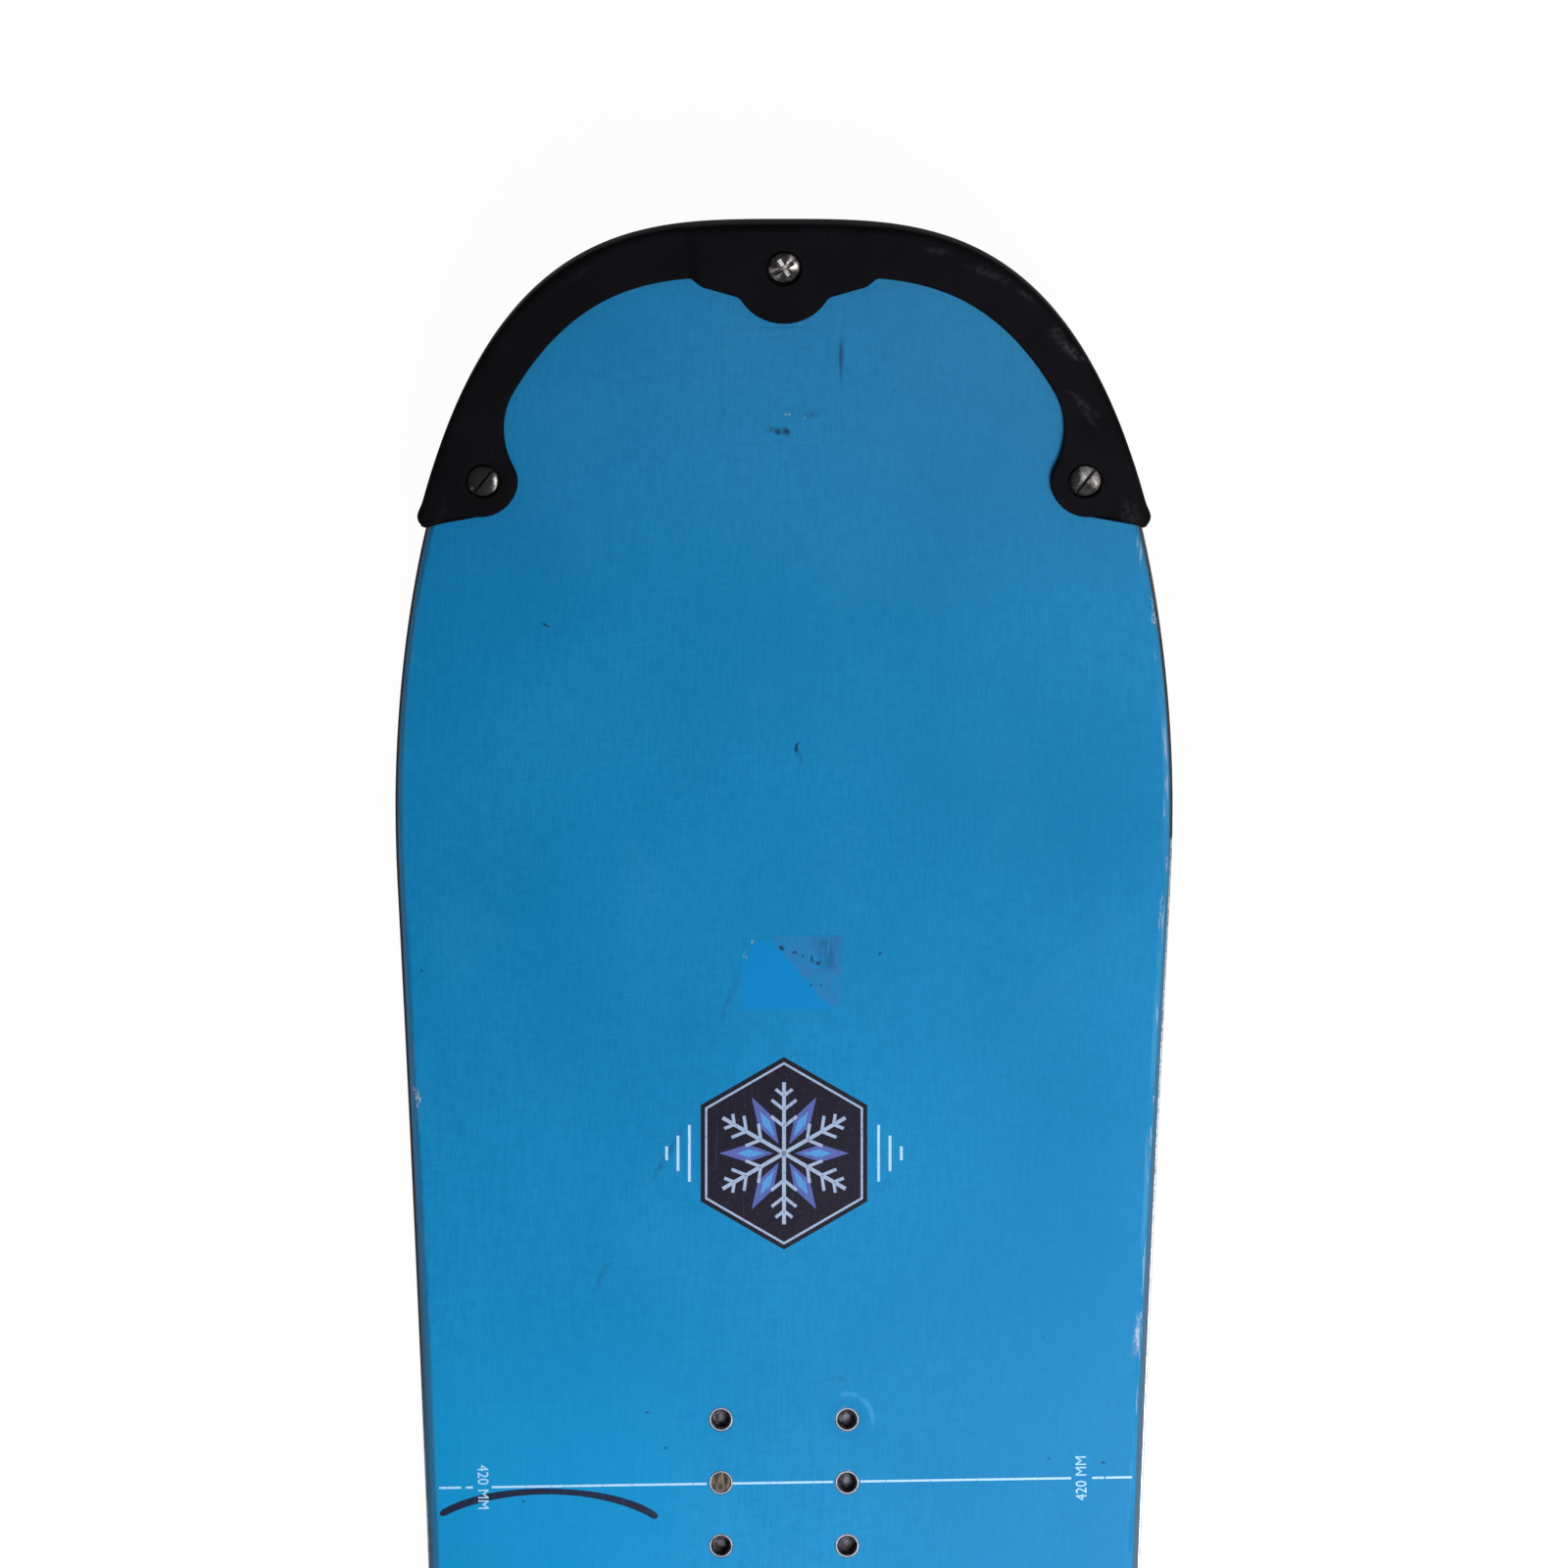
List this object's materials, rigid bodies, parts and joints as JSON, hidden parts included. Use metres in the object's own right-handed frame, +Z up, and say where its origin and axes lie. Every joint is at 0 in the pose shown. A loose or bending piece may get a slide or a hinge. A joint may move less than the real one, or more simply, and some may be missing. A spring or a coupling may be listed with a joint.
{
  "type": "junior snowboard",
  "caption": "Flat-lying junior snowboard with turned-up tips, a laminated wood core, steel edges, threaded binding inserts and a moulded guard screwed over each tip.",
  "frame": {"origin": "on the ground under the middle of the board, which lies on its base", "axes": "+Y along the board towards the nose, the end that the picture shows; +X across it to the picture's right; +Z up out of the topsheet"},
  "size_m": [0.2474, 1.2128, 0.0483],
  "materials": {
    "blue_topsheet": "satin, worn",
    "glass_laminate": "resin-wet glass cloth",
    "poplar_stringer": "planed",
    "beech_stringer": "planed",
    "bamboo_rail": "planed",
    "tip_spacer_plastic": "matt",
    "sintered_base": "stone ground",
    "edge_steel": "ground, light rust",
    "bond_rubber": "matt",
    "insert_steel": "turned",
    "guard_elastomer": "moulded, scuffed",
    "zinc_screw": "zinc plated",
    "zinc_nut": "zinc plated"
  },
  "bodies": {
    "root": {"base_sheet": "sintered_base", "core_stringer_1": "poplar_stringer", "core_stringer_2": "beech_stringer", "core_stringer_3": "poplar_stringer", "core_stringer_4": "beech_stringer", "core_stringer_5": "poplar_stringer", "core_stringer_6": "beech_stringer", "core_stringer_7": "poplar_stringer", "core_stringer_8": "beech_stringer", "core_stringer_9": "poplar_stringer", "edge_rail_left": "bamboo_rail", "edge_rail_right": "bamboo_rail", "edge_rubber_left": "bond_rubber", "edge_rubber_right": "bond_rubber", "front_insert_1": "insert_steel", "front_insert_2": "insert_steel", "front_insert_3": "insert_steel", "front_insert_4": "insert_steel", "front_insert_5": "insert_steel", "front_insert_6": "insert_steel", "front_insert_7": "insert_steel", "front_insert_8": "insert_steel", "lower_glass": "glass_laminate", "nose_guard": "guard_elastomer", "nose_guard_nut_centre": "zinc_nut", "nose_guard_nut_left": "zinc_nut", "nose_guard_nut_right": "zinc_nut", "nose_guard_screw_centre": "zinc_screw", "nose_guard_screw_left": "zinc_screw", "nose_guard_screw_right": "zinc_screw", "nose_spacer": "tip_spacer_plastic", "rear_insert_1": "insert_steel", "rear_insert_2": "insert_steel", "rear_insert_3": "insert_steel", "rear_insert_4": "insert_steel", "rear_insert_5": "insert_steel", "rear_insert_6": "insert_steel", "rear_insert_7": "insert_steel", "rear_insert_8": "insert_steel", "steel_edge_left": "edge_steel", "steel_edge_right": "edge_steel", "tail_guard": "guard_elastomer", "tail_guard_nut_centre": "zinc_nut", "tail_guard_nut_left": "zinc_nut", "tail_guard_nut_right": "zinc_nut", "tail_guard_screw_centre": "zinc_screw", "tail_guard_screw_left": "zinc_screw", "tail_guard_screw_right": "zinc_screw", "tail_spacer": "tip_spacer_plastic", "topsheet": "blue_topsheet", "upper_glass": "glass_laminate"}
  },
  "joints": []
}
